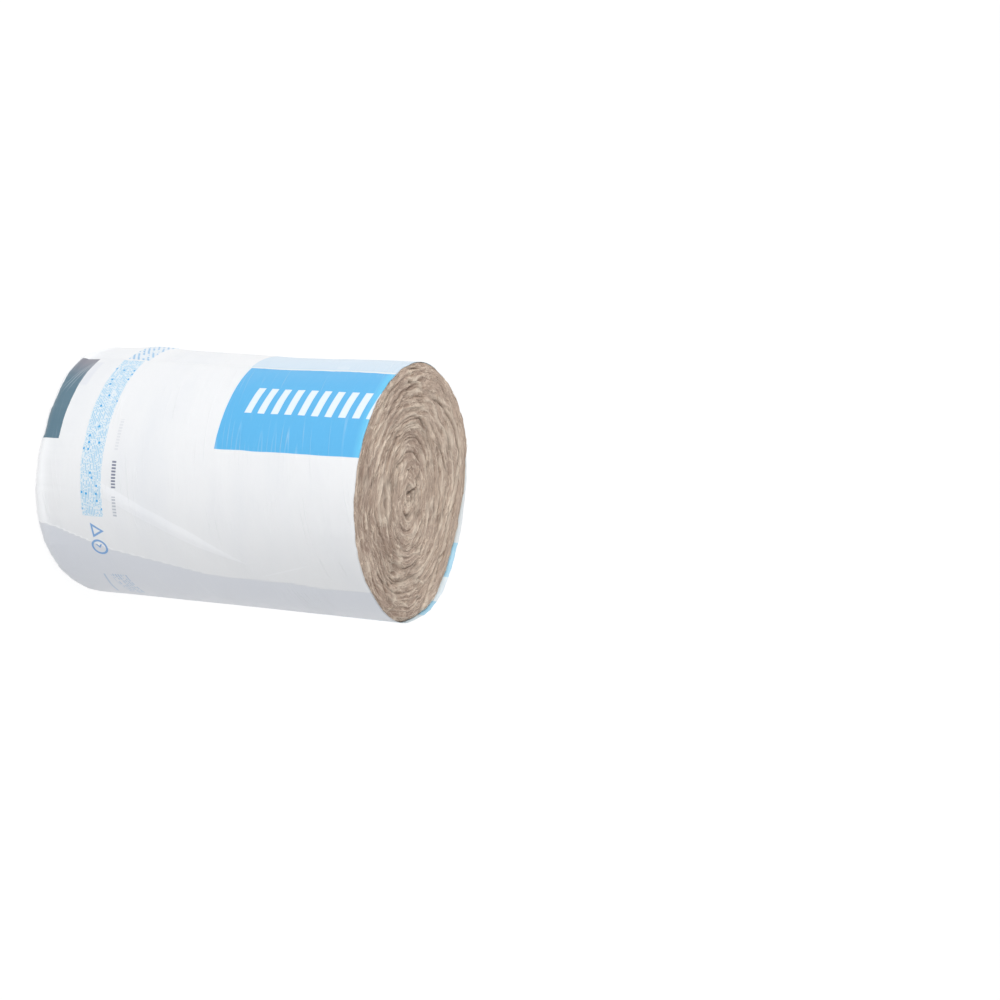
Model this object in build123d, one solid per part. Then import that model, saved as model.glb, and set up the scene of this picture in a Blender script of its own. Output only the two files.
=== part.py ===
from build123d import *
import os
from math import atan2, cos, degrees, radians, sin, tan

os.makedirs("parts", exist_ok=True)

# Driving dimensions, in millimetres and degrees
FILM_T = 0.8
GAP = 0.2
FILM_IN_R = 213.4
WOOL_R = FILM_IN_R - GAP
FILM_R = FILM_IN_R + FILM_T
LAP_R = FILM_R + FILM_T
CUT_HEIGHT = 601.0
CUT_LEAN = 1.7
SHOULDER_R = 26.0
RIM_BEVEL = 2.5
TUCK_R = 62.0
TUCK_FLAT_R = 20.0
TUCK_DEPTH = 14.0
PLEATS = 18
PLEAT_ANGLE = 9.0
PLEAT_START = 72.0
LIP_MEAN = 3.2
LIP_SWING = 3.2
LIP_TOWARD = -45.0
OVERLAP_EDGE = 71.0
OVERLAP_LOW_CLOSED = -16.0
OVERLAP_LOW_OPEN = -40.0
OVERLAP_TAPER = 12.0
TURNS = 9
EYE_U = -20.0
EYE_V = -7.0
GROOVE_W = 3.5
GROOVE_D = 4.0
TAIL_INSET = 20.0
SLIT_U = -5.0
SLIT_V = 2.0
SLIT_TURN = 11.0
SLIT_LONG = 42.0
SLIT_WIDE = 6.0
SLIT_DEPTH = 9.0
BITE = 0.3
SPARE = 40.0


def at(radius, height):
    """A point of a half-section: out from the roll's axis, and up from the floor."""
    return Vector(radius, 0, height)


def shoulder_point(radius, angle):
    """A point that far from the middle of the shoulder's curve, 90 at the side and 0 at the end."""
    a = radians(angle)
    return at(LAP_R - SHOULDER_R + radius * sin(a), SHOULDER_R - radius * cos(a))


def shoulder_arc(gap, start=90.0, end=0.0):
    """Part of the rounded shoulder, gap inside the outermost skin, from the side to the end."""
    angles = (start, (start + end) / 2, end)
    return ThreePointArc(*[shoulder_point(SHOULDER_R - gap, angle) for angle in angles])


def shoulder_bevels(gap):
    """The same shoulder in three straight bevels, for the wool and the film's gathered inner side."""
    radius = SHOULDER_R - gap
    return [Line(shoulder_point(radius, angle), shoulder_point(radius, angle - 30)) for angle in (90, 60, 30)]


def turned(gap, height, shoulder):
    """A solid round body whose closed end is rounded off and tucked in at the middle."""
    edges = [
        Line(at(0, height), at(LAP_R - gap, height)),
        Line(at(LAP_R - gap, height), at(LAP_R - gap, SHOULDER_R)),
        *shoulder,
        Line(at(LAP_R - SHOULDER_R, gap), at(TUCK_R, gap)),
        Line(at(TUCK_R, gap), at(TUCK_FLAT_R, gap + TUCK_DEPTH)),
        Line(at(TUCK_FLAT_R, gap + TUCK_DEPTH), at(0, gap + TUCK_DEPTH)),
        Line(at(0, gap + TUCK_DEPTH), at(0, height)),
    ]
    return revolve(make_face(edges), Axis.Z, 360)


def beyond(origin, normal):
    """The block of space on the outer side of a cutting plane."""
    plane = Plane(origin=origin, z_dir=normal)
    return plane * Box(1400, 1400, 400, align=(Align.CENTER, Align.CENTER, Align.MIN))


def on_skin(height, angle, radius):
    """A point of the side: the angle runs from the front, 0, to the side at -X, 90."""
    a = radians(angle)
    return Vector(-radius * sin(a), -radius * cos(a), height)


# The cut end leans, so its -X side stands higher
lean = radians(CUT_LEAN)
cut_normal = Vector(sin(lean), 0, cos(lean))
cut_plane = Plane(origin=(0, 0, CUT_HEIGHT), x_dir=(0, 1, 0), z_dir=cut_normal)

wool_in = 2 * FILM_T + GAP
wool = turned(wool_in, CUT_HEIGHT + SPARE, shoulder_bevels(wool_in)) - beyond((0, 0, CUT_HEIGHT), cut_normal)
wool = chamfer(wool.edges().sort_by(Axis.Z)[-1], RIM_BEVEL)


def on_cut(u, v, w=0.0):
    """A point of the cut end: u towards +Y, v towards -X and w out of it."""
    return cut_plane.origin + cut_plane.x_dir * u + cut_plane.y_dir * v + cut_plane.z_dir * w


# The turns: half circles whose ends lie on one line through the eye of the roll
eye_off = Vector(EYE_U, EYE_V)
line_angle = degrees(atan2(-EYE_V, -EYE_U))
reach_long = WOOL_R + eye_off.length
reach_short = WOOL_R - eye_off.length
pitch_long = reach_long / TURNS
pitch_short = reach_short / TURNS


def groove_arc(near, far, start, sweep):
    """A V groove on part of the circle whose diameter runs from near to far on the line."""
    radius = (near + far) / 2
    s = (near - far) / 2
    cu = EYE_U + s * cos(radians(line_angle))
    cv = EYE_V + s * sin(radians(line_angle))
    du = cos(radians(line_angle + start))
    dv = sin(radians(line_angle + start))
    inner = radius - GROOVE_W / 2
    outer = radius + GROOVE_W / 2
    corners = [
        on_cut(cu + du * inner, cv + dv * inner, BITE),
        on_cut(cu + du * outer, cv + dv * outer, BITE),
        on_cut(cu + du * radius, cv + dv * radius, -GROOVE_D),
    ]
    profile = make_face(Polyline(*corners, close=True))
    return revolve(profile, Axis(on_cut(cu, cv), cut_normal), sweep)


first_long = reach_long - TAIL_INSET
first_short = first_long * reach_short / reach_long
grooves = [groove_arc(first_long, first_short + pitch_short / 2, -98.0, 98.0)]
for turn in range(TURNS - 1):
    right = first_long - turn * pitch_long
    left = first_short - (turn + 0.5) * pitch_short
    if left > 8:
        grooves.append(groove_arc(right, left, 0.0, 180.0))
        grooves.append(groove_arc(right - pitch_long, left, 180.0, 180.0))
for groove in grooves:
    wool = wool - groove

# The slit at the eye, where the mat was first bent round
slit_plane = Plane(origin=on_cut(SLIT_U, SLIT_V), x_dir=(0, 1, 0), z_dir=cut_normal)
wool = wool - extrude(slit_plane * SlotOverall(SLIT_LONG, SLIT_WIDE, rotation=SLIT_TURN), amount=-SLIT_DEPTH)

# The film: one layer all round and over the closed end
outer = turned(FILM_T, CUT_HEIGHT + SPARE, [shoulder_arc(FILM_T)])
film = outer - turned(2 * FILM_T, CUT_HEIGHT + 2 * SPARE, shoulder_bevels(2 * FILM_T))

# The second layer across the front, from where it starts to the film's outer edge
lap_top = CUT_HEIGHT + SPARE
lap_section = [
    Line(at(FILM_R - BITE, SHOULDER_R), at(LAP_R, SHOULDER_R + OVERLAP_TAPER)),
    Line(at(LAP_R, SHOULDER_R + OVERLAP_TAPER), at(LAP_R, lap_top)),
    Line(at(LAP_R, lap_top), at(FILM_R - BITE, lap_top)),
    Line(at(FILM_R - BITE, lap_top), at(FILM_R - BITE, SHOULDER_R)),
]
lap_angle = OVERLAP_EDGE - OVERLAP_LOW_OPEN + 5
lap = revolve(make_face(lap_section), Axis.Z, lap_angle)
lap = lap.rotate(Axis.Z, 270 - OVERLAP_EDGE)
low_a = on_skin(0, OVERLAP_LOW_CLOSED, FILM_R)
low_b = on_skin(CUT_HEIGHT, OVERLAP_LOW_OPEN, FILM_R)
low_mid = (low_a + low_b) / 2
outward = Vector(low_mid.X, low_mid.Y, 0).normalized()
away = (low_b - low_a).cross(outward).normalized()
if away.X < 0:
    away = away * -1
lap = lap - beyond(low_mid, away)
film = film + lap

# The pleats that gather the film in over the closed end
pleat_in = LAP_R - SHOULDER_R
pleat_section = [
    shoulder_arc(0, PLEAT_START, 0),
    Line(at(pleat_in, 0), at(TUCK_R, 0)),
    Line(at(TUCK_R, 0), at(TUCK_R, FILM_T + BITE)),
    Line(at(TUCK_R, FILM_T + BITE), at(pleat_in, FILM_T + BITE)),
    shoulder_arc(FILM_T + BITE, 0, PLEAT_START),
    Line(shoulder_point(SHOULDER_R - FILM_T - BITE, PLEAT_START), shoulder_point(SHOULDER_R, PLEAT_START)),
]
pleat = revolve(make_face(pleat_section), Axis.Z, PLEAT_ANGLE)
for number in range(PLEATS):
    film = film + pleat.rotate(Axis.Z, 6 + number * 360 / PLEATS)

# The open edge, which stands out furthest on its +X and +Y side
lip_u = LIP_SWING * cos(radians(LIP_TOWARD)) / FILM_R
lip_v = tan(lean) + LIP_SWING * sin(radians(LIP_TOWARD)) / FILM_R
film = film - beyond((0, 0, CUT_HEIGHT + LIP_MEAN), Vector(lip_v, -lip_u, 1).normalized())

for name, shape in (("wool_roll", wool), ("film_wrap", film)):
    solids = shape.solids()
    box = shape.bounding_box()
    print(name, len(solids), round(shape.volume), box.min, box.max)
    export_step(solids[0], "parts/" + name + ".step")
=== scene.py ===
import math

import bpy
import numpy as np
from mathutils import Matrix, Vector


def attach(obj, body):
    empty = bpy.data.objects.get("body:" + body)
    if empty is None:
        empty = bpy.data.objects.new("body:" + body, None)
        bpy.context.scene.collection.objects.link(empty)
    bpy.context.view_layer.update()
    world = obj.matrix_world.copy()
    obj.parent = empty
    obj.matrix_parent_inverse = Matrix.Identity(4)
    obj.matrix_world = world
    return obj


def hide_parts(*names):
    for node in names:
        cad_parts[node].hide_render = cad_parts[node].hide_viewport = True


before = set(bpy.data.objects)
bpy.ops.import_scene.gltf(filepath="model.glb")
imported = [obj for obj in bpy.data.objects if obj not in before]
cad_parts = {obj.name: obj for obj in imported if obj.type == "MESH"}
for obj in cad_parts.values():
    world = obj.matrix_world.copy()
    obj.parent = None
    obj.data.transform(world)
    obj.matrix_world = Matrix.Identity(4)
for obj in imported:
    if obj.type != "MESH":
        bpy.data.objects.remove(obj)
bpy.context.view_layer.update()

# Sizes in metres as the frame has them, and angles round the roll in degrees, 0 in front and 90 at -X
FILM_R = 0.2142
WOOL_R = 0.2131
LAYER = 0.0008
CUT_HEIGHT = 0.601
CUT_SLOPE = math.tan(math.radians(1.7))
SHOULDER_R = 0.0252
END_R = 0.189
TUCK_R = 0.062
TUCK_DEPTH = 0.013
LIP_MEAN = 0.0032
LIP_SWING = 0.0032
LIP_TOWARD = 45.0
SHEET_START = 66.0
SHEET_EDGE = 431.0
EYE_U = -0.020
EYE_V = -0.007
TURNS = 9.0

# How many rows and columns each mesh has
FILM_COLUMNS = 356
SIDE_ROWS = 160
BEND_ROWS = 18
TUCK_ROWS = 16
END_ROWS = 34
LIP_ROWS = 4
SPOKES = 480
RINGS = 168
FIBRES = 620
SEGMENTS = 5

# Where the soft roll stands out or falls in: millimetres, middle and width
BULGES_AT_CUT = [(10.5, 243, 21), (-8.5, 318, 24), (5.5, 166, 16)]
BULGES_AT_CUT += [(-4.5, 121, 17), (3.0, 20, 30), (2.5, 278, 12)]
BULGES_UP_SIDE = [(4.8, 0.113, 0.036), (1.0, 0.17, 0.04), (-3.2, 0.40, 0.095)]
BULGES_ON_SHOULDER = [(5.5, 72, 17), (-3.4, 28, 21), (4.0, -26, 32)]

# The line where the sheet starts under the front
START_HEIGHTS = [0.012, 0.047, 0.138, 0.229, 0.315, 0.462, 0.511, 0.607]
START_ANGLES = [-15.0, -17.1, -26.2, -31.1, -36.2, -38.2, -40.8, -41.2]

# The long crease across the front, the gathers of the closed end and the film's wrinkles
CREASE_LOW = 0.146
CREASE_HIGH = 0.391
CREASE_ANGLE = 1.8
CREASE_TURN = 29.0
CREASE_LIFT = 0.0011
GATHERS = 19.0
PLEAT_LEAN = 0.88
EDGE_LIFT = 0.0005
SLACK_LIFT = 0.0008
FOLD_LIFT = 0.00045
FLOOR_GAP = 0.0036
LOWEST = 0.00025

# The torn face of the wool
RIDGE_HEIGHT = 0.0015
THREAD_HEIGHT = 0.0010
VALLEY_DEPTH = 0.0019
SEAM_DEPTH = 0.0024
GASH_DEPTH = 0.005
HOLLOW_DEPTH = 0.0022
STRAND_HEIGHT = 0.0014
TAIL_DEPTH = 0.0032
RIM_DROP = 0.0020
RIM_ROUND = 0.007
PROUD = 0.0048


# Noise
def lattice(seed):
    """A block of random numbers for noise to pass through."""
    return np.random.default_rng(seed).uniform(-1.0, 1.0, (32, 32, 32))


def noise(table, x, y, z):
    """Smooth noise from -1 to 1 at the points, the same on every run."""
    x, y, z = np.broadcast_arrays(x, y, z)
    cell = [np.floor(a).astype(int) for a in (x, y, z)]
    part = [a - c for a, c in zip((x, y, z), cell)]
    ease = [p * p * p * (p * (p * 6 - 15) + 10) for p in part]
    total = np.zeros(x.shape)
    for i in (0, 1):
        for j in (0, 1):
            for k in (0, 1):
                weight = (
                    (ease[0] if i else 1 - ease[0])
                    * (ease[1] if j else 1 - ease[1])
                    * (ease[2] if k else 1 - ease[2])
                )
                corner = table[(cell[0] + i) % 32, (cell[1] + j) % 32, (cell[2] + k) % 32]
                total += weight * corner
    return total


def fractal(table, x, y, z, octaves=3, gain=0.5):
    """Noise with finer and fainter noise added to it."""
    total, scale, size = 0.0, 1.0, 1.0
    for octave in range(octaves):
        total = total + size * noise(table, x * scale + 7.3 * octave, y * scale, z * scale)
        scale *= 2.03
        size *= gain
    return total


def step(low, high, x):
    """0 up to low, 1 from high on and smooth between."""
    t = np.clip((x - low) / (high - low), 0.0, 1.0)
    return t * t * (3 - 2 * t)


def bell(x, width):
    return np.exp(-((x / width) ** 2))


def mesh_piece(name, points, faces, smooth=True):
    mesh = bpy.data.meshes.new(name)
    mesh.from_pydata([tuple(p) for p in points], [], faces)
    mesh.validate()
    if smooth:
        mesh.shade_smooth()
    piece = bpy.data.objects.new(name, mesh)
    bpy.context.scene.collection.objects.link(piece)
    return piece


def grid_faces(rows, columns, first=0, closed=False):
    faces = []
    for i in range(rows - 1):
        for j in range(columns if closed else columns - 1):
            k = (j + 1) % columns
            a = first + i * columns
            b = first + (i + 1) * columns
            faces.append((a + j, b + j, b + k, a + k))
    return faces


def store(mesh, name, values):
    layer = mesh.attributes.new(name, "FLOAT", "POINT")
    layer.data.foreach_set("value", np.asarray(values, dtype=np.float32))


def near(angle, centre, width):
    return bell((angle - centre + 180) % 360 - 180, width)


def bulges(angle, places):
    """The sum of the bulges round the roll, in millimetres."""
    return sum(by * near(angle, middle, width) for by, middle, width in places)


def start_line(height):
    """Where the sheet starts under the front, as an angle, at a height."""
    return np.interp(height, START_HEIGHTS, START_ANGLES)


def lip_height(angle):
    """The height of the film's open edge at an angle."""
    a = np.radians(angle)
    toward = np.cos(np.radians(180.0) - a + np.radians(LIP_TOWARD))
    cut = CUT_HEIGHT + CUT_SLOPE * FILM_R * np.sin(a)
    return cut + LIP_MEAN + LIP_SWING * toward - 0.0036 * near(angle, 156, 44)


def swell(angle, height):
    """How far the soft roll bulges out of round, by the angle round it and the height, in metres."""
    up_side = sum(by * bell(height - middle, width) for by, middle, width in BULGES_UP_SIDE)
    at_cut = step(0.3, 0.6, height) * bulges(angle, BULGES_AT_CUT)
    return 0.001 * (at_cut + near(angle, 95, 27) * up_side)


# The film, one sheet that starts under the front, goes once round and ends on top of itself
wrinkle = lattice(11)
dent = lattice(12)
fold = lattice(13)

side = np.linspace(SHEET_START, SHEET_EDGE - 0.8, FILM_COLUMNS)
turns = np.concatenate([side, [SHEET_EDGE - 0.3, SHEET_EDGE, SHEET_EDGE, SHEET_EDGE - 1.4]])
columns = len(turns)
outer_end = np.linspace(TUCK_R, END_R, END_ROWS)[1:]
end_rows = np.concatenate([np.linspace(0.004, TUCK_R, TUCK_ROWS), outer_end])
bend_rows = np.radians(np.linspace(0, 90, BEND_ROWS))[1:]
side_rows = np.linspace(0, 1, SIDE_ROWS)[1:]
side_shape = (len(side_rows), columns)
rows = len(end_rows) + len(bend_rows) + len(side_rows)


def whole(at_end, at_bend, at_side):
    """A value for every row and column, from the closed end's middle over the shoulder to the cut."""
    below = np.concatenate([np.broadcast_to(at_end, end_rows.shape), at_bend])
    return np.concatenate([np.repeat(below[:, None], columns, axis=1), np.broadcast_to(at_side, side_shape)])


low = LAYER + SHOULDER_R
bend_length = SHOULDER_R * math.pi / 2
jag = 0.0011 * fractal(fold, np.cos(np.radians(turns)) * 9, np.sin(np.radians(turns)) * 9, 0.5, 3)
top = lip_height(turns) + jag
tucked = LAYER + TUCK_DEPTH * (1 - step(0.0, TUCK_R, end_rows))
bend_height = LAYER + SHOULDER_R - SHOULDER_R * np.cos(bend_rows)
side_height = low + (top - low)[None, :] * side_rows[:, None]
radius = whole(end_rows, END_R + SHOULDER_R * np.sin(bend_rows), FILM_R)
height = whole(tucked, bend_height, side_height)
out = whole(0.0, np.sin(bend_rows), 1.0)
up = whole(-1.0, -np.cos(bend_rows), 0.0)
along = whole(-bend_length - (END_R - end_rows), SHOULDER_R * bend_rows - bend_length, side_height - low)

angle = np.broadcast_to(turns, (rows, columns))
rad = np.radians(angle)
ring_x = -np.sin(rad)
ring_y = -np.cos(rad)
front = np.where(angle > 360, angle - 360, angle)
signed = np.where(angle > 300, angle - 360, angle)

# How far the film stands off the wool
in_front = angle > 300
past_start = signed - start_line(height)
doubled = step(-0.5, 0.5, past_start) * in_front
on_side = step(0.0, 0.03, along)
lift = LAYER * doubled * on_side
lift += EDGE_LIFT * bell(past_start + 0.3, 0.7) * in_front * on_side
to_edge = SHEET_EDGE - angle
wavy = 0.6 + 0.5 * noise(fold, height * 22, 3.1, 0.7)
lift += EDGE_LIFT * wavy * np.exp(-to_edge / 1.3) * on_side
slow = fractal(dent, ring_x * 2.1, ring_y * 2.1, height * 7.5, 3)
lift += SLACK_LIFT * (slow * 0.5 + 0.5) * step(0.0, 0.05, along)

# Long soft folds in the film, mostly round the roll
ridge = 1 - np.abs(fractal(wrinkle, ring_x * 2.4 + 5, ring_y * 2.4, height * 46 + 0.6 * slow, 2))
where = step(0.05, 0.5, noise(fold, ring_x * 2.0, ring_y * 2.0, height * 9 + 4))
lift += FOLD_LIFT * np.clip(ridge - 0.72, 0, 1) * 3.2 * where * on_side

# The long slanting crease across the front
reach = (height - CREASE_LOW) / (CREASE_HIGH - CREASE_LOW)
across = (signed - (CREASE_ANGLE - CREASE_TURN * reach)) * math.radians(1) * FILM_R
here = step(-0.15, 0.12, reach) * (1 - step(0.85, 1.1, reach)) * in_front
lift += here * CREASE_LIFT * bell(across, 0.009)

# Gathers round the closed end
gather = (1 - step(-0.012, 0.075, along)) * step(0.03, 0.075, radius)
twist = 0.55 * noise(fold, ring_x * 1.5, ring_y * 1.5, 2.2) + 1.6 * step(END_R, 0.0, radius) ** 2
phase = rad * GATHERS / (2 * math.pi) + 0.42 * noise(fold, ring_x * 3, ring_y * 3, 5.5) + twist
saw = phase - np.floor(phase)
pleat = np.where(saw < PLEAT_LEAN, (saw / PLEAT_LEAN) ** 1.5, (1 - saw) / (1 - PLEAT_LEAN))
small = 1 - np.abs(fractal(wrinkle, ring_x * 14, ring_y * 14, radius * 9, 2))
depth = np.where(out > 0, 0.0011 + 0.0021 * (1 - out), 0.0032)
lift += gather * depth * pleat * (0.6 + 0.4 * noise(fold, ring_x * 4, ring_y * 4, 8.1))
lift += gather * 0.0016 * np.clip(small - 0.55, 0, 1)
# Painted shade: the pleats' crease lines and the small wrinkles of the closed end, stored to be painted
# darker
pleat_shade = gather * np.clip(bell(saw - 0.97, 0.05) + 0.5 * bell(small - 0.45, 0.1), 0, 1)
pleat_shade = pleat_shade * (1 - step(-0.035, -0.004, along))

# The sheet's two edges turn in, and the shoulder and the side bulge
turned_in = np.where(turns < 71.5, 0.0004, 0.0)
turned_in[-2:] = 0.0005
lift = lift - turned_in[None, :]
corner = np.sin(2 * np.arcsin(np.clip(out, 0, 1))) * (radius > END_R)
lift += 0.001 * bulges(angle, BULGES_ON_SHOULDER) * corner
lift += swell(angle, height) * (out > 0.999)
closed = (out < 0.999) & (along < 0)
height = height + FLOOR_GAP * (1 - out) * (radius > TUCK_R) * closed
radius_now = radius + out * lift
height_now = np.maximum(height + up * lift, LOWEST)

# The lip flares a little low down at the back, where the saw pulled it
flare = bell(front - 233, 30.0)
lip = step(-0.016, 0.0, height - top[None, :])
radius_now = radius_now + flare * lip * (0.0022 + 0.0018 * noise(fold, ring_x * 11, ring_y * 11, height * 60))

points = np.stack([ring_x * radius_now, ring_y * radius_now, height_now], axis=-1).reshape(-1, 3)
faces = grid_faces(rows, columns)
once_round = int(np.searchsorted(turns, 426.0))
centre_point = len(points)
points = np.concatenate([points, [[0.0, 0.0, height_now[0].mean()]]])
faces += [(centre_point, j, j + 1) for j in range(once_round)]

# The inside of the open edge, down to where the wool covers it
inner = []
spacing = (top - low).mean() / len(side_rows)
for k in range(LIP_ROWS):
    back = 0.0002 + k * 0.007
    above_row = int(back / spacing)
    between = back / spacing - above_row
    beside_it = (1 - between) * radius_now[-1 - above_row] + between * radius_now[-2 - above_row] - 0.0004
    inner.append(np.stack([ring_x[-1] * beside_it, ring_y[-1] * beside_it, top - back], axis=-1))
first = len(points)
points = np.concatenate([points, *inner])
last_row = (rows - 1) * columns
for j in range(columns - 1):
    faces.append((last_row + j, first + j, first + j + 1, last_row + j + 1))
faces += grid_faces(LIP_ROWS, columns, first)

film = mesh_piece("film_wrap_skin", points, faces)


def with_inner(outer, at_centre, inner_value=None):
    """A value for every point of the film: its outside, its centre and the inside of its edge."""
    last = outer[-1:] if inner_value is None else np.full((1, columns), inner_value)
    return np.concatenate([outer.reshape(-1), [at_centre], np.repeat(last, LIP_ROWS, axis=0).reshape(-1)])


# Painted light: besides where the film is doubled, it is painted whiter from 66° to 150° round the roll,
# fading out by 250°, on the side the key light comes from
doubled_or_lit_top = np.maximum(doubled, 1 - step(150.0, 250.0, angle))
doubled_or_lit_top = 0.5 + (doubled_or_lit_top - 0.5) * step(-0.05, 0.02, along)
store(film.data, "doubled", with_inner(doubled_or_lit_top, 0.5))
store(film.data, "inside", with_inner(np.zeros((rows, columns)), 0.0, 1.0))
store(film.data, "pleat_shade", with_inner(pleat_shade, 0.0, 0.0))
sheet_map = film.data.uv_layers.new(name="sheet")
loops = np.zeros(len(film.data.loops), dtype=np.int64)
film.data.loops.foreach_get("vertex_index", loops)
round_at = with_inner(angle, 240.0)[loops] * math.pi / 180 * FILM_R
along_at = with_inner(along, along[0, 0])[loops] + low
sheet_map.data.foreach_set("uv", np.stack([round_at, along_at], axis=-1).astype(np.float32).reshape(-1))

# The wool: a polar grid about the eye of the roll, out to the rim, over it and down the side
face_noise = lattice(21)
crimp_noise = lattice(22)
tuft_noise = lattice(23)


def rim_from_eye(spoke):
    """How far the rim is from the eye of the roll along a spoke."""
    along_eye = EYE_U * np.cos(spoke) + EYE_V * np.sin(spoke)
    return -along_eye + np.sqrt(along_eye**2 + WOOL_R**2 - EYE_U**2 - EYE_V**2)


theta = np.linspace(-math.pi, math.pi, SPOKES, endpoint=False)
share = np.linspace(0, 1, RINGS + 1)[1:] ** 0.97
share_2d = np.broadcast_to(share[:, None], (RINGS, SPOKES))
face_u = EYE_U + share_2d * rim_from_eye(theta) * np.cos(theta)
face_v = EYE_V + share_2d * rim_from_eye(theta) * np.sin(theta)


def marks(u, v, places):
    """How much of any of the short strokes given covers each point, from 0 to 1."""
    total = np.zeros(u.shape)
    for at_u, at_v, heading, half, width, bow in places:
        a = math.radians(heading)
        du, dv = u - at_u / 1000, v - at_v / 1000
        run = du * math.cos(a) + dv * math.sin(a)
        off = -du * math.sin(a) + dv * math.cos(a) - bow * run**2
        total = np.maximum(total, bell(off, width / 1000) * np.exp(-((run * 1000 / half) ** 4)))
    return total


def wool_relief(u, v, rho, spoke):
    """Height of the torn cut face in metres, the painted shade in its valleys, seams, gashes and hollows, how
    pale it is with painted highlights on its ridges, how ridged it is, and which ring it lies on.
    """
    cu, sv = np.cos(spoke), np.sin(spoke)
    reach = rho * WOOL_R
    at_sides = step(0.7, 1.0, np.abs(cu))
    crimped = step(-0.35, 0.35, noise(face_noise, u * 10, v * 10, 1.7)) * (1 - 0.7 * at_sides)
    warp = 0.008 * fractal(face_noise, u * 13, v * 13, 4.2, 2)
    warp += crimped * 0.0068 * noise(crimp_noise, u * 34, v * 34, 2.4)
    warp += 0.0018 * noise(crimp_noise, u * 80, v * 80, 6.6)
    warp = warp * step(0.0, 0.09, reach) * (1 - 0.6 * step(0.84, 1.0, rho))
    oval = 0.2 * (1 - step(0.1, 0.7, rho)) * np.cos(2 * spoke)
    ring = reach * (1 + oval) + warp
    around = 0.5 + 8 * reach
    first = noise(tuft_noise, cu * around, sv * around, ring * 104)
    second = noise(crimp_noise, cu * around * 2 + 9, sv * around * 2, ring * 200)
    third = noise(face_noise, cu * around * 0.8 + 4, sv * around * 0.8, ring * 76 + 5)
    calm = step(0.0, 0.01, outside_tail(u, v))
    busy = (0.4 + 0.6 * step(-0.5, 0.2, noise(tuft_noise, u * 17 + 3, v * 17, 2.2))) * (1 - 0.55 * calm)
    wide = 1 + 0.5 * at_sides
    ridge = bell(first, 0.17 * wide) * busy
    thread = bell(second, 0.20 * wide) * busy
    valley = bell(third, 0.12 * wide) * busy
    turn = TURNS * (1 - ring / WOOL_R) - (spoke + math.radians(79)) / (2 * math.pi)
    whole = np.abs(turn - np.round(turn))
    parted = step(-0.3, 0.4, noise(tuft_noise, cu * 2.6, sv * 2.6, rho * 7))
    seam = bell(whole, 0.055) * parted * step(0.03, 0.09, rho) * (1 - step(0.955, 0.985, rho))
    lump = fractal(tuft_noise, u * 55, v * 55, 0.4, 3)
    broad = fractal(face_noise, u * 14, v * 14, 8.8, 2)
    gash = marks(u, v, GASHES)
    soft = marks(u, v, HOLLOWS)
    strand = marks(u, v, STRANDS)
    tail = bell(outside_tail(u, v), 0.0022) * tail_seen(u, v)
    h = 0.0010 * broad + 0.0005 * lump + RIDGE_HEIGHT * ridge + THREAD_HEIGHT * thread - VALLEY_DEPTH * valley
    h = h - SEAM_DEPTH * seam - GASH_DEPTH * gash - HOLLOW_DEPTH * soft
    h = h + STRAND_HEIGHT * strand - TAIL_DEPTH * tail
    # Painted shade: darker in the valleys, seams, gashes, hollows and the gap at the outer turn's end
    recess_shade = np.clip(0.6 * valley + 0.7 * seam + gash + 0.4 * soft + 0.8 * tail, 0, 1)
    # Partly real pale strands, partly painted highlight: paler on the raised ridges and threads and beside
    # the outer turn's end
    beside = bell(outside_tail(u, v) - 0.007, 0.0045) * tail_seen(u, v)
    pale = np.clip(0.75 * ridge**2 + 0.4 * thread**2 + strand + 0.7 * beside, 0, 1)
    tone = 0.5 + 0.25 * broad + 0.25 * lump + 0.12 * calm + 2.0 * u * step(-0.2, 0.2, u)
    return h, recess_shade, pale, np.clip(tone - 0.25 * step(0.02, 0.2, -u), 0, 1), ring


# Where the outermost turn ends: angle round the face in degrees, and the radius of its inner side
TAIL_ANGLE = [-84.0, -68.0, -54.0, -20.0, 8.0, 23.0, 67.0, 80.0]
TAIL_RADIUS = [219.0, 180.0, 172.0, 156.0, 179.0, 178.0, 163.0, 161.0]


def outside_tail(u, v):
    """How far a point lies outside the inner side of the outermost turn, below 0 inside it."""
    around = np.degrees(np.arctan2(v, u))
    ripple = 0.0022 * noise(crimp_noise, around / 7, 0.3, 0.9)
    inner = np.interp(around, TAIL_ANGLE, TAIL_RADIUS, left=230, right=230) / 1000
    return np.hypot(u, v) - inner - ripple


def tail_seen(u, v):
    """1 where the outermost turn's end shows, 0 elsewhere."""
    around = np.degrees(np.arctan2(v, u))
    return step(-83, -76, around) * (1 - step(55, 80, around))


def scattered(seed, count, half, width):
    """Strokes laid along the turns by chance, each as a place, heading, half length, half width and bow."""
    pick = np.random.default_rng(seed)
    strokes = []
    for _ in range(count):
        far = 190 * math.sqrt(pick.uniform(0.05, 1.0))
        at = pick.uniform(-180, 180)
        place = (far * math.cos(math.radians(at)), far * math.sin(math.radians(at)))
        size = (half * pick.uniform(0.5, 1.5), width * pick.uniform(0.7, 1.3))
        strokes.append(place + (at + 90 + pick.normal(0, 16),) + size + (500 / far + pick.normal(0, 4),))
    return strokes


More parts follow.
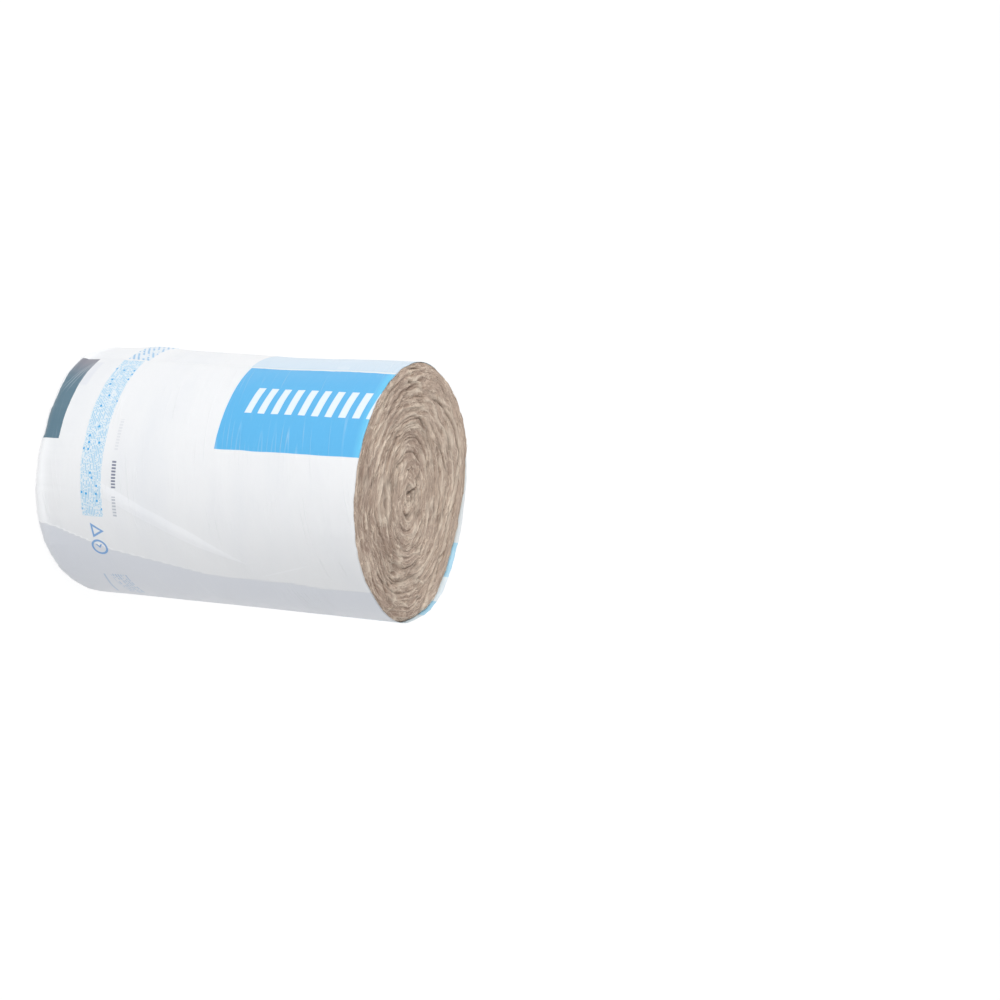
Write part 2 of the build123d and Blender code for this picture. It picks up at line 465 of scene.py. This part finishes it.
# Strokes on the face, in mm and degrees: the ones that stand out, listed one by one, and the rest by chance
GASHES = [(-5, 2, 11, 23, 2.2, 0), (-50, 57, 20, 15, 1.8, -6), (-7, 205, -4, 17, 1.4, -2)]
GASHES += scattered(41, 9, 11, 1.7)
HOLLOWS = [(-77, -7, 95, 34, 4.0, 4), (10, -128, 20, 18, 3.0, 4)]
HOLLOWS += scattered(42, 8, 24, 3.0)
EYE_CURLS = [(36, 10, 100, 24, 1.6, 9), (18, -66, 38, 38, 1.5, -2)]
EYE_CURLS += [(-12, -14, -50, 8, 2.0, 20), (-32, -10, 110, 9, 1.8, -20)]
TUFTS = [(-157, 76, 55, 11, 2.6, 0), (-100, -30, -45, 9, 2.2, 0)]
TUFTS += [(-173, -12, 110, 12, 2.2, 0), (158, 2, 95, 58, 2.6, 3)]
STRANDS = EYE_CURLS + TUFTS + scattered(43, 26, 15, 1.7)


def bulged(u, v):
    """How far the soft face is drawn out of round, and how proud it stands, where the film is low."""
    from_axis = np.hypot(u, v) / WOOL_R
    at = 180 - np.degrees(np.arctan2(v, u))
    over_film = near(at, 150, 46)
    drawn = 1 + swell(at, CUT_HEIGHT) / WOOL_R * from_axis**2 + 0.004 * over_film * from_axis**4
    return drawn, PROUD * over_film * step(0.5, 1.0, from_axis)


spoke_2d = np.broadcast_to(theta, share_2d.shape)
relief, recess_shade, pale, ridged, ring_at = wool_relief(face_u, face_v, share_2d, spoke_2d)
rim_noise = fractal(tuft_noise, np.cos(theta) * 16, np.sin(theta) * 16, 3.3, 3)


def rounded_rim(u, v):
    """How much the face drops as it rounds off at its rim."""
    return RIM_DROP * (1 - step(0.0, RIM_ROUND, WOOL_R - np.hypot(u, v)))


grow, proud = bulged(face_u, face_v)
drop = rounded_rim(face_u, face_v) * (1 + 0.5 * rim_noise)
face_z = CUT_HEIGHT + CUT_SLOPE * face_v + relief - drop + proud
wool_points = [np.stack([-face_v * grow, face_u * grow, face_z], axis=-1).reshape(-1, 3)]

# Its side and its base, which the film hides
side_u, side_v = face_u[-1] * grow[-1], face_v[-1] * grow[-1]
torn = 1 + 0.0012 * rim_noise
side_loops = [(torn, face_z[-1] - down) for down in (0.003, 0.007, 0.014)]
side_loops += [(0.955, face_z[-1] - down) for down in (0.03, 0.3)]
side_loops += [(0.955, 0.036), (0.86, 0.007), (0.25, 0.017)]
for shrink, z in side_loops:
    wool_points.append(np.stack([-side_v * shrink, side_u * shrink, np.broadcast_to(z, (SPOKES,))], axis=-1))
wool_points = np.concatenate(wool_points)
all_rings = RINGS + len(side_loops)
wool_faces = grid_faces(all_rings, SPOKES, 0, closed=True)
eye_point = len(wool_points)
base_point = eye_point + 1
centre_z = CUT_HEIGHT + CUT_SLOPE * EYE_V - 0.001
wool_points = np.concatenate([wool_points, [[-EYE_V, EYE_U, centre_z], [0, 0, 0.017]]])
last_ring = (all_rings - 1) * SPOKES
for j in range(SPOKES):
    k = (j + 1) % SPOKES
    wool_faces.append((eye_point, j, k))
    wool_faces.append((base_point, last_ring + k, last_ring + j))

# Loose fibres lying on the face and over the rim, joined to the wool's own mesh
chance = np.random.default_rng(31)
fibre_points, fibre_faces, fibre_rings = [], [], []
for number in range(FIBRES):
    at_rim = number % 4 == 0
    distance = 0.209 + 0.0035 * chance.random() if at_rim else 0.205 * math.sqrt(chance.random())
    where_a = chance.uniform(-math.pi, math.pi)
    u0, v0 = distance * math.cos(where_a), distance * math.sin(where_a)
    heading = math.atan2(v0 - EYE_V, u0 - EYE_U) + math.pi / 2 + chance.normal(0, 0.35)
    length = chance.uniform(0.008, 0.026) * (0.7 if at_rim else 1.0)
    curl = chance.normal(0, 45)
    thick = chance.uniform(0.00016, 0.00034)
    rise = chance.uniform(0.0003, 0.0022)
    ring_points = []
    for s in range(SEGMENTS + 1):
        t = s / SEGMENTS
        run = (t - 0.5) * length
        turn_by = heading + curl * run
        u1 = u0 + run * math.cos((heading + turn_by) / 2)
        v1 = v0 + run * math.sin((heading + turn_by) / 2)
        limit = 0.2122 / max(math.hypot(u1, v1), 0.2122)
        ring_points.append((u1 * limit, v1 * limit, math.sin(math.pi * t) * rise, turn_by, t))
    tips = np.array([(p[0], p[1]) for p in ring_points])
    rel_u, rel_v = tips[:, 0] - EYE_U, tips[:, 1] - EYE_V
    spoke_here = np.arctan2(rel_v, rel_u)
    rho = np.hypot(rel_u, rel_v) / rim_from_eye(spoke_here)
    laid_on = wool_relief(tips[:, 0], tips[:, 1], rho, spoke_here)
    drawn, lifted = bulged(tips[:, 0], tips[:, 1])
    h_here = laid_on[0] + lifted - rounded_rim(tips[:, 0], tips[:, 1])
    base = len(wool_points) + len(fibre_points)
    for s, (u1, v1, high, turn_by, t) in enumerate(ring_points):
        fat = thick * (0.35 + 0.65 * math.sin(math.pi * min(max(t, 0.04), 0.96)))
        z1 = CUT_HEIGHT + CUT_SLOPE * v1 + h_here[s] + high + 0.0001
        side_a = (-math.sin(turn_by) * fat, math.cos(turn_by) * fat)
        out_by = drawn[s]
        fibre_points.append((-(v1 + side_a[1]) * out_by, (u1 + side_a[0]) * out_by, z1))
        fibre_points.append((-(v1 - side_a[1]) * out_by, (u1 - side_a[0]) * out_by, z1))
        fibre_points.append((-v1 * out_by, u1 * out_by, z1 + fat * 1.5))
        fibre_rings += [laid_on[4][s]] * 3
        if s:
            a, b = base + (s - 1) * 3, base + s * 3
            for e in range(3):
                f = (e + 1) % 3
                fibre_faces.append((a + e, b + e, b + f, a + f))
wool_count = len(wool_points)
wool_points = np.concatenate([wool_points, np.array(fibre_points)])
wool_faces += fibre_faces
wool = mesh_piece("wool_roll_turns", wool_points, wool_faces)
filler = np.zeros(wool_count - RINGS * SPOKES)
loose = np.zeros(len(fibre_points))
store(wool.data, "recess_shade", np.concatenate([recess_shade.reshape(-1), filler, loose]))
store(wool.data, "pale", np.concatenate([pale.reshape(-1), filler, np.full(len(loose), 0.85)]))
store(wool.data, "ridged", np.concatenate([ridged.reshape(-1), filler + 0.5, loose + 0.8]))
side_rings = np.concatenate([np.repeat(ring_at[-1:], len(side_loops), axis=0).reshape(-1), [0.0, 0.0]])
store(wool.data, "ring", np.concatenate([ring_at.reshape(-1), side_rings, fibre_rings]))


# Materials
class Shades:
    """Builds one material's nodes from plain sums."""

    def __init__(self, name):
        self.material = bpy.data.materials.new(name)
        self.material.use_nodes = True
        self.tree = self.material.node_tree
        self.shader = self.tree.nodes["Principled BSDF"]

    def node(self, kind, **settings):
        made = self.tree.nodes.new(kind)
        for key, value in settings.items():
            setattr(made, key, value)
        return made

    def put(self, value, socket):
        if isinstance(value, bpy.types.NodeSocket):
            self.tree.links.new(value, socket)
        else:
            socket.default_value = value

    def sum(self, operation, *values):
        made = self.node("ShaderNodeMath", operation=operation)
        for value, socket in zip(values, made.inputs):
            self.put(value, socket)
        return made.outputs[0]

    def chain(self, operation, first, *others):
        for other in others:
            first = self.sum(operation, first, other)
        return first

    def times(self, *values):
        return self.chain("MULTIPLY", *values)

    def plus(self, *values):
        return self.chain("ADD", *values)

    def minus(self, *values):
        return self.chain("SUBTRACT", *values)

    def most(self, *values):
        return self.chain("MAXIMUM", *values)

    def ramp(self, value, low, high):
        """0 below low, 1 above high and straight between, either way round."""
        made = self.node("ShaderNodeMapRange", clamp=True)
        self.put(value, made.inputs["Value"])
        self.put(low, made.inputs["From Min"])
        self.put(high, made.inputs["From Max"])
        return made.outputs[0]

    def inside(self, value, low, high, edge=0.3):
        up = self.ramp(value, low - edge, low + edge)
        down = self.ramp(value, high + edge, high - edge)
        return self.times(up, down)

    def box(self, x, y, x0, x1, y0, y1, edge=0.3):
        return self.times(self.inside(x, x0, x1, edge), self.inside(y, y0, y1, edge))

    def mix(self, share, below, above):
        made = self.node("ShaderNodeMix", data_type="RGBA")
        self.put(share, made.inputs[0])
        self.put(below, made.inputs[6])
        self.put(above, made.inputs[7])
        return made.outputs[2]

    def vector(self, x, y, z):
        made = self.node("ShaderNodeCombineXYZ")
        for value, socket in zip((x, y, z), made.inputs):
            self.put(value, socket)
        return made.outputs[0]

    def noise(self, vector, scale=1.0, detail=2.0, rough=0.5, warp=0.0):
        made = self.node("ShaderNodeTexNoise")
        self.put(vector, made.inputs["Vector"])
        made.inputs["Scale"].default_value = scale
        made.inputs["Detail"].default_value = detail
        made.inputs["Roughness"].default_value = rough
        made.inputs["Distortion"].default_value = warp
        return made.outputs[0]

    def speck(self, x, y, wide, high, seed):
        """A different plain number from 0 to 1 for each cell of a grid."""
        cell_x = self.sum("FLOOR", self.sum("DIVIDE", x, wide))
        cell_y = self.sum("FLOOR", self.sum("DIVIDE", y, high))
        made = self.node("ShaderNodeTexWhiteNoise", noise_dimensions="3D")
        self.put(self.vector(cell_x, cell_y, seed), made.inputs["Vector"])
        return made.outputs["Value"]

    def within(self, x, wide):
        """Where a point lies in its cell, from 0 to 1."""
        return self.sum("FRACT", self.sum("DIVIDE", x, wide))

    def attribute(self, name):
        return self.node("ShaderNodeAttribute", attribute_name=name).outputs["Fac"]

    def bump(self, height, distance, strength=1.0, after=None):
        made = self.node("ShaderNodeBump")
        made.inputs["Distance"].default_value = distance
        made.inputs["Strength"].default_value = strength
        self.put(height, made.inputs["Height"])
        if after is not None:
            self.put(after, made.inputs["Normal"])
        return made.outputs[0]


def colour(red, green, blue):
    """A colour given as it looks on screen, from 0 to 255."""
    return tuple(
        (c / 255 / 12.92) if c / 255 <= 0.04045 else ((c / 255 + 0.055) / 1.055) ** 2.4
        for c in (red, green, blue)
    ) + (1.0,)


MM_PER_DEGREE = 214.2 * math.pi / 180

# The print's places on the sheet: millimetres up the roll from and to, and degrees round it from and to
PAST_CUT = 700.0
FINE_BAND = (101.0, 141.0, 350.0, 430.0)
BOLD_BLOCK = (106.0, 147.0, 60.0, 106.0)
LOWER_BLOCK = (112.0, 146.0, 296.0, 317.0)
BLUE_FRONT = (346.0, PAST_CUT, 383.5, 430.1)
BLUE_BACK = (346.0, PAST_CUT, 214.0, 260.5)
WHITE_END = (586.0, PAST_CUT, 231.0, 246.0)
PALE_FRONT = (343.0, PAST_CUT, 60.0, 112.0)
PALE_BACK = (343.0, PAST_CUT, 261.0, 286.0)
SLATE_FRONT = (16.0, 50.5, 383.5, 431.5)
SLATE_BACK = (16.0, 50.5, 214.0, 260.5)
SLATE_VEIL = (50.0, 66.0, 411.0, 428.0)

# Rows of dashes: their place, strength and colour
DASH_ROWS = [
    ((160.5, 168.5, 363.0, 375.7), 0.82, (78, 88, 120)),
    ((161.0, 168.0, 350.4, 359.6), 0.55, (140, 148, 166)),
    ((161.0, 167.5, 379.8, 394.2), 0.2, (170, 176, 188)),
]


def arc(angle):
    """Millimetres along the sheet at an angle round the roll."""
    return angle * MM_PER_DEGREE


class Sheet(Shades):
    """The film's nodes, with x up the roll and y round it, in millimetres on the flat sheet."""

    def __init__(self, name):
        super().__init__(name)
        parts = self.node("ShaderNodeSeparateXYZ")
        self.put(self.node("ShaderNodeUVMap", uv_map="sheet").outputs[0], parts.inputs[0])
        self.round = self.times(parts.outputs[0], 1000.0)
        self.along = self.times(parts.outputs[1], 1000.0)
        flat = self.vector(parts.outputs[0], parts.outputs[1], 0.0)
        pull = self.times(self.minus(self.noise(flat, 16.0, 2.0), 0.5), 3.2)
        self.x = self.plus(self.along, pull)
        self.y = self.plus(self.round, pull)

    def panel(self, place, edge=0.3):
        low_x, high_x, start, end = place
        return self.box(self.x, self.y, low_x, high_x, arc(start), arc(end), edge)

    def over(self, under, cover, strength, *rgb):
        """The colour under, with another laid over it where the cover is."""
        return self.mix(self.times(cover, strength), under, colour(*rgb))

    def drawn(self, round_scale, along_scale, seed, detail=2.0, rough=0.5, warp=0.0):
        """Noise with a scale of its own round the roll and along it."""
        at = self.vector(self.times(self.round, round_scale), self.times(self.along, along_scale), seed)
        return self.noise(at, 1.0, detail, rough, warp)

    def picked(self, wide, high, seed, above):
        """1 in the cells of a grid that chance picks, 0 in the rest."""
        return self.sum("GREATER_THAN", self.speck(self.y, self.x, wide, high, seed), above)


def bare_film(s):
    """The film without its print: single or doubled and hazy, with painted light: a paler top, painted shade
    in the gathers' creases and painted highlights along the front's creases.
    """
    doubled = s.attribute("doubled")
    # Greyer where the film is single and paler where doubled; the paler colour also lies on the painted lit
    # top
    film = s.mix(doubled, colour(223, 225, 230), colour(239, 239, 239))
    start_edge = s.inside(doubled, 0.55, 0.95, 0.06)
    film = s.over(film, start_edge, s.ramp(s.x, 420.0, 60.0), 252, 252, 252)
    # Painted shade in the closed end's pleats and wrinkles
    film = s.over(film, s.attribute("pleat_shade"), 0.4, 176, 180, 188)
    # Painted highlight: a lighter band along the long slanting crease across the front, and a shorter one
    # along a second crease
    crease_line = s.minus(arc(361.8), s.times(s.minus(s.x, 146.0), 0.118 * MM_PER_DEGREE))
    crease_half = s.sum("MINIMUM", 11.5, s.times(s.minus(397.0, s.x), 0.13))
    crease_off = s.sum("ABSOLUTE", s.minus(s.y, crease_line))
    crease_highlight = s.times(s.ramp(s.minus(crease_off, crease_half), 0.8, -0.8), s.inside(s.x, 140.0, 410.0, 12.0))
    second_line = s.plus(arc(326.2), s.times(s.minus(s.x, 426.0), 0.35))
    second_off = s.sum("ABSOLUTE", s.minus(s.y, second_line))
    second_crease_highlight = s.times(s.ramp(second_off, 2.4, 0.6), s.inside(s.x, 420.0, 500.0, 16.0), 0.6)
    film = s.over(film, s.most(crease_highlight, second_crease_highlight), 0.7, 247, 247, 248)
    haze = s.drawn(0.004, 0.011, 3.0, 3.0)
    return s.over(film, s.ramp(haze, 0.45, 0.75), 0.22, 214, 218, 226)


def fine_print(s, film):
    """The band of fine print, as rows of plain marks that say nothing."""
    band = s.panel(FINE_BAND)
    fine = s.times(band, s.picked(1.9, 3.1, 4.0, 0.34), s.inside(s.within(s.x, 3.1), 0.22, 0.76, 0.08))
    shift = s.times(s.speck(s.y, s.x, 12.3, 9.7, 9.0), 0.5)
    inner_x = s.inside(s.minus(s.within(s.x, 9.7), shift), 0.08, 0.46, 0.02)
    inner_y = s.inside(s.minus(s.within(s.y, 12.3), shift), 0.06, 0.36, 0.02)
    square = s.times(band, s.picked(12.3, 9.7, 7.0, 0.7), inner_x, inner_y)
    film = s.over(film, band, 0.55, 214, 232, 243)
    film = s.over(film, fine, 0.7, 112, 190, 228)
    return s.mix(square, film, colour(52, 168, 226))


def print_blocks(s, film):
    """The bolder block of the sheet's first turn, and the paler one low down with a rule beside it."""
    bold = s.panel(BOLD_BLOCK)
    slant = s.within(s.plus(s.x, s.times(s.y, 0.55)), 9.0)
    strokes = s.times(bold, s.inside(slant, 0.1, 0.52, 0.1), s.picked(6.5, 7.0, 2.0, 0.3))
    film = s.over(film, bold, 0.35, 206, 226, 240)
    film = s.over(film, strokes, 0.75, 104, 174, 220)
    ruled_x = s.plus(s.x, s.times(s.minus(arc(317.0), s.y), 0.17))
    rule = s.box(ruled_x, s.y, 98.0, 101.5, arc(297.0), arc(316.5))
    film = s.over(film, rule, 0.5, 140, 176, 208)
    rows = s.times(s.inside(s.within(s.x, 5.2), 0.2, 0.7, 0.1), s.picked(2.6, 5.2, 5.0, 0.3))
    return s.over(film, s.times(s.panel(LOWER_BLOCK), rows), 0.62, 140, 176, 208)


def plain_signs(s, film):
    """A three-sided ring, and a round ring with a tick."""
    half_x = s.times(s.minus(s.x, 121.0), 0.5)
    lean_y = s.times(s.minus(s.y, arc(343.1)), 0.866)
    three_sided = s.most(s.times(half_x, -2.0), s.plus(half_x, lean_y), s.minus(half_x, lean_y))
    ring_x = s.minus(s.x, 119.5)
    ring_y = s.minus(s.y, arc(334.4))
    far = s.sum("SQRT", s.plus(s.times(ring_x, ring_x), s.times(ring_y, ring_y)))
    tick_off = s.minus(s.sum("ABSOLUTE", ring_x), s.times(ring_y, 0.8))
    tick = s.box(tick_off, ring_y, -1.6, 1.8, -7.5, 6.0)
    signs = s.most(s.inside(three_sided, 4.4, 8.0, 0.4), s.inside(far, 11.4, 15.2, 0.4), tick)
    return s.over(film, signs, 0.85, 84, 152, 214)


def dash_rows(s, film):
    """Rows of plain dashes beside the band of fine print."""
    dashes = s.inside(s.within(s.y, 5.2), 0.18, 0.78, 0.06)
    for place, strength, tone in DASH_ROWS:
        film = s.over(film, s.times(s.panel(place, 0.4), dashes), strength, *tone)
    return film


def bold_bars(s, middle, until):
    """A row of plain bold bars across a panel, all alike."""
    rise = s.times(s.minus(s.y, arc(middle)), 1.18)
    lean = s.minus(s.x, s.times(rise, 0.1))
    bars = s.inside(s.within(lean, 24.0), 0.05, 0.57, 0.015)
    return s.times(bars, s.inside(rise, -31.0, 31.0), s.inside(lean, 384.0, until, 0.4))


def large_panels(s, film):
    """The blue panels at the cut end, one in front and its repeat behind, with the pale ones beside them."""
    blue_front = s.panel(BLUE_FRONT)
    blue_back = s.panel(BLUE_BACK)
    worn = s.ramp(s.drawn(0.03, 0.35, 8.0, 4.0, 0.6), 0.58, 0.8)
    blue = s.over(colour(88, 180, 231), worn, 0.3, 130, 200, 238)
    blue = s.mix(s.ramp(s.x, 590.0, 604.0), blue, colour(106, 200, 240))
    film = s.mix(s.most(blue_front, blue_back), film, blue)
    front_bars = s.times(bold_bars(s, 408.0, PAST_CUT), blue_front)
    back_bars = s.times(bold_bars(s, 238.0, 567.0), blue_back)
    film = s.over(film, s.most(front_bars, back_bars, s.panel(WHITE_END)), 0.93, 236, 243, 250)
    return s.mix(s.most(s.panel(PALE_FRONT), s.panel(PALE_BACK)), film, colour(208, 224, 236))


def slate_panels(s, film):
    """The slate panel on the closed end's shoulder, with painted highlights as pale streaks of glare across
    it, and its repeat behind.
    """
    slate = s.panel(SLATE_FRONT)
    tone = s.mix(s.ramp(s.y, arc(414.0), arc(428.0)), colour(88, 120, 136), colour(132, 132, 142))
    film = s.mix(slate, film, tone)
    past = s.minus(s.y, arc(412.0))
    glare_streaks = s.times(slate, s.inside(s.y, arc(409.0), arc(427.0), 12.0))
    # Painted highlight: pale slanting streaks of glare across the slate panel
    for start, lean, wide in ((31.0, 0.30, 1.3), (38.0, 0.22, 0.9), (25.0, 0.36, 0.8)):
        off = s.sum("ABSOLUTE", s.minus(s.x, s.plus(start, s.times(past, lean))))
        film = s.over(film, s.times(s.ramp(off, wide, wide * 0.4), glare_streaks), 0.4, 205, 210, 216)
    film = s.over(film, s.panel(SLATE_VEIL, 2.5), 0.35, 214, 216, 226)
    return s.mix(s.panel(SLATE_BACK), film, colour(88, 120, 136))


def film_material():
    s = Sheet("printed_film")
    film = bare_film(s)
    for layer in (fine_print, print_blocks, plain_signs, dash_rows, large_panels, slate_panels):
        film = layer(s, film)

    # Thin folds, drawn out round the roll: bumps, with a painted highlight along their lines
    slanted = s.plus(s.along, s.times(s.round, 0.12))
    folds = s.noise(s.vector(s.times(s.round, 0.0036), s.times(slanted, 0.062), 2.0), 1.0, 0.0)
    fold_line_and_highlight = s.ramp(s.sum("ABSOLUTE", s.minus(folds, 0.5)), 0.03, 0.0)
    fold_line_and_highlight = s.times(fold_line_and_highlight, s.ramp(s.drawn(0.010, 0.018, 11.0), 0.48, 0.66))
    film = s.over(film, fold_line_and_highlight, 0.2, 247, 248, 249)

    # Painted shade: a darker grey band on the side that the roll lies on, standing in for its contact shadow
    painted_contact_shade = s.times(s.ramp(s.y, arc(302.0), arc(280.0)), s.ramp(s.y, arc(250.0), arc(272.0)))
    painted_contact_shade = s.times(painted_contact_shade, s.ramp(s.drawn(0.03, 0.02, 14.0, 5.0, 0.65), 0.35, 0.75))
    film = s.over(film, painted_contact_shade, 0.2, 172, 172, 170)

    # The inside of the film is plain and painted paler, as painted light standing in for light that shines
    # through the thin film
    film = s.over(film, s.attribute("inside"), 0.4, 236, 252, 252)
    s.put(film, s.shader.inputs["Base Color"])
    soil = s.drawn(0.02, 0.02, 5.0, 4.0)
    s.put(s.plus(0.27, s.times(soil, 0.16)), s.shader.inputs["Roughness"])
    s.shader.inputs["IOR"].default_value = 1.5

    slack = s.bump(s.drawn(0.008, 0.03, 1.0, 3.0, 0.5, 0.6), 0.0022, 0.5)
    crackle = s.bump(s.drawn(0.05, 0.07, 6.0, 3.0, 0.6), 0.0005, 0.3, slack)
    s.put(s.bump(fold_line_and_highlight, 0.0007, 0.6, crackle), s.shader.inputs["Normal"])
    return s.material


def wool_material():
    s = Shades("glass_wool")
    place = s.node("ShaderNodeTexCoord").outputs["Object"]
    shift = s.node("ShaderNodeVectorMath", operation="SUBTRACT")
    s.put(place, shift.inputs[0])
    shift.inputs[1].default_value = (-EYE_V, EYE_U, 0.0)
    parts = s.node("ShaderNodeSeparateXYZ")
    s.put(shift.outputs[0], parts.inputs[0])
    level = s.vector(parts.outputs[0], parts.outputs[1], 0.0)
    unit = s.node("ShaderNodeVectorMath", operation="NORMALIZE")
    s.put(level, unit.inputs[0])
    heading = s.node("ShaderNodeSeparateXYZ")
    s.put(unit.outputs[0], heading.inputs[0])
    ring = s.attribute("ring")
    quick = s.minus(s.noise(place, 95.0, 2.0), 0.5)
    kinks = s.minus(s.noise(place, 44.0, 3.0, 0.6), 0.5)
    bent = s.plus(ring, s.times(quick, 0.008), s.times(kinks, 0.014))
    around = s.plus(0.6, s.times(ring, 11.0))

    def laid(across, along, offset, detail=2.0):
        """Noise drawn out along the turns."""
        run = s.times(around, along)
        at = s.vector(
            s.plus(s.times(heading.outputs[0], run), offset),
            s.times(heading.outputs[1], run),
            s.times(bent, across),
        )
        return s.noise(at, 1.0, detail, 0.55)

    def thin(value, width):
        """A thin line where the noise is at its middle."""
        off = s.sum("ABSOLUTE", s.minus(value, 0.5))
        return s.ramp(off, width, width * 0.15)

    coarse = laid(108.0, 1.0, 0.0)
    middling = laid(205.0, 1.7, 7.0)
    fine = laid(420.0, 3.0, 13.0, 3.0)
    fluff = s.noise(place, 330.0, 4.0, 0.65)
    patch = s.noise(place, 16.0, 3.0)
    busy = s.ramp(s.noise(place, 34.0, 2.0), 0.36, 0.56)

    base = s.mix(s.ramp(patch, 0.38, 0.62), colour(187, 162, 146), colour(192, 168, 149))
    shade = s.mix(s.ramp(s.attribute("ridged"), 0.15, 0.85), colour(161, 137, 123), colour(222, 199, 179))
    base = s.mix(0.5, base, shade)
    base = s.mix(s.times(s.ramp(coarse, 0.50, 0.64), 0.3), base, colour(162, 138, 123))
    pale_line = s.times(thin(middling, 0.04), s.ramp(patch, 0.62, 0.4))
    base = s.mix(s.times(pale_line, 0.4), base, colour(244, 224, 203))
    light_line = s.times(thin(coarse, 0.05), busy, 0.62)
    base = s.mix(light_line, base, colour(247, 228, 207))
    dark_line = s.times(thin(s.plus(middling, 0.09), 0.045), busy, 0.5)
    base = s.mix(dark_line, base, colour(138, 116, 102))
    base = s.mix(s.times(s.ramp(fine, 0.55, 0.72), 0.45), base, colour(243, 223, 201))
    base = s.mix(s.times(s.ramp(fine, 0.45, 0.3), 0.45), base, colour(146, 125, 110))
    # Pale strands, with painted highlights on the ridges
    base = s.mix(s.times(s.attribute("pale"), 0.7), base, colour(250, 233, 212))
    # Painted shade in the face's recesses
    base = s.mix(s.times(s.attribute("recess_shade"), 0.7), base, colour(112, 94, 82))
    s.put(base, s.shader.inputs["Base Color"])
    s.shader.inputs["Roughness"].default_value = 0.94
    s.shader.inputs["Specular IOR Level"].default_value = 0.22
    first = s.bump(coarse, 0.0045, 0.8)
    second = s.bump(middling, 0.0030, 0.8, first)
    third = s.bump(fine, 0.0020, 0.8, second)
    s.put(s.bump(fluff, 0.0011, 0.7, third), s.shader.inputs["Normal"])
    return s.material


film.data.materials.append(film_material())
wool.data.materials.append(wool_material())
for piece, node, slot in ((film, "film_wrap", "wrap_film"), (wool, "wool_roll", "glass_wool")):
    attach(piece, "root")
    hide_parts(node)

# The floor and the light
FLOOR_HALF = 60
corners = [(x * FLOOR_HALF, y * FLOOR_HALF, 0) for x, y in ((-1, -1), (1, -1), (1, 1), (-1, 1))]
floor = mesh_piece("floor", corners, [(0, 1, 2, 3)], False)
f = Shades("pale_floor")
f.shader.inputs["Base Color"].default_value = (0.9, 0.9, 0.9, 1.0)
f.shader.inputs["Roughness"].default_value = 0.9
f.shader.inputs["Specular IOR Level"].default_value = 0.0
rays = f.node("ShaderNodeLightPath")
glow = f.node("ShaderNodeEmission")
glow.inputs["Strength"].default_value = 1.12
blend = f.node("ShaderNodeMixShader")
seen = f.most(*[rays.outputs["Is " + kind + " Ray"] for kind in ("Camera", "Glossy", "Transmission")])
f.put(f.times(seen, 0.8), blend.inputs[0])
f.put(f.shader.outputs[0], blend.inputs[1])
f.put(glow.outputs[0], blend.inputs[2])
f.put(blend.outputs[0], f.tree.nodes["Material Output"].inputs["Surface"])
floor.data.materials.append(f.material)

world = bpy.data.worlds.new("studio")
bpy.context.scene.world = world
world.use_nodes = True
sky = world.node_tree
back = sky.nodes["Background"]
path = sky.nodes.new("ShaderNodeLightPath")
facing = sky.nodes.new("ShaderNodeTexCoord")
sides = sky.nodes.new("ShaderNodeSeparateXYZ")
fall = sky.nodes.new("ShaderNodeFloatCurve")
curve = fall.mapping.curves[0]
curve.points[0].location = (0.0, 0.84)
curve.points[1].location = (1.0, 0.0)
for spot, bright in ((0.5, 0.72), (0.66, 0.8), (0.76, 0.76), (0.86, 0.4)):
    curve.points.new(spot, bright)

# A second point at the end makes the fall towards straight up steeper
curve.points.new(1.0, 1.0)
fall.mapping.update()
half = sky.nodes.new("ShaderNodeMapRange")
half.inputs["From Min"].default_value = -1.0
half.inputs["From Max"].default_value = 1.0
level = sky.nodes.new("ShaderNodeMapRange")
level.inputs["To Max"].default_value = 1.0
tint = sky.nodes.new("ShaderNodeMix")
tint.data_type = "RGBA"
tint.inputs[6].default_value = (0.95, 0.97, 1.0, 1.0)
tint.inputs[7].default_value = (1.0, 1.0, 1.0, 1.0)
sky.links.new(facing.outputs["Generated"], sides.inputs[0])
sky.links.new(sides.outputs[0], half.inputs["Value"])
sky.links.new(half.outputs[0], fall.inputs["Value"])
sky.links.new(path.outputs["Is Camera Ray"], level.inputs["Value"])
sky.links.new(fall.outputs[0], level.inputs["To Min"])
sky.links.new(level.outputs[0], back.inputs["Strength"])
sky.links.new(path.outputs["Is Camera Ray"], tint.inputs[0])
sky.links.new(tint.outputs[2], back.inputs["Color"])


def softbox(name, place, look_at, size, power):
    lamp = bpy.data.lights.new(name, "AREA")
    lamp.shape = "DISK"
    lamp.size = size
    lamp.energy = power
    holder = bpy.data.objects.new(name, lamp)
    bpy.context.scene.collection.objects.link(holder)
    holder.location = place
    holder.rotation_mode = "QUATERNION"
    holder.rotation_quaternion = (Vector(look_at) - Vector(place)).to_track_quat("-Z", "Y")


softbox("key_light", (-2.7, -1.4, 2.0), (0, 0, 0.3), 1.8, 36.5)
softbox("front_light", (1.3, -3.0, 1.7), (0, 0, 0.35), 2.2, 16)

# The camera, as the photograph was taken: the roll lies on its side there, so the photograph's up is -X
camera_data = bpy.data.cameras.new("camera")
camera_data.lens = 65.14
camera_data.sensor_width = 36.0
camera_data.clip_start = 0.05
camera_data.clip_end = 200.0
camera = bpy.data.objects.new("camera", camera_data)
bpy.context.scene.collection.objects.link(camera)
photo_up = Vector((-1, 0, 0))
ahead = Vector((0.18461, 0.91041, -0.37025)).normalized()
right = ahead.cross(photo_up).normalized()
above = right.cross(ahead)
turned = Matrix((right, above, -ahead)).transposed().to_4x4()
camera.matrix_world = Matrix.Translation((-0.53667, -2.65867, 1.83720)) @ turned
bpy.context.scene.camera = camera
bpy.context.scene.view_settings.view_transform = "Standard"
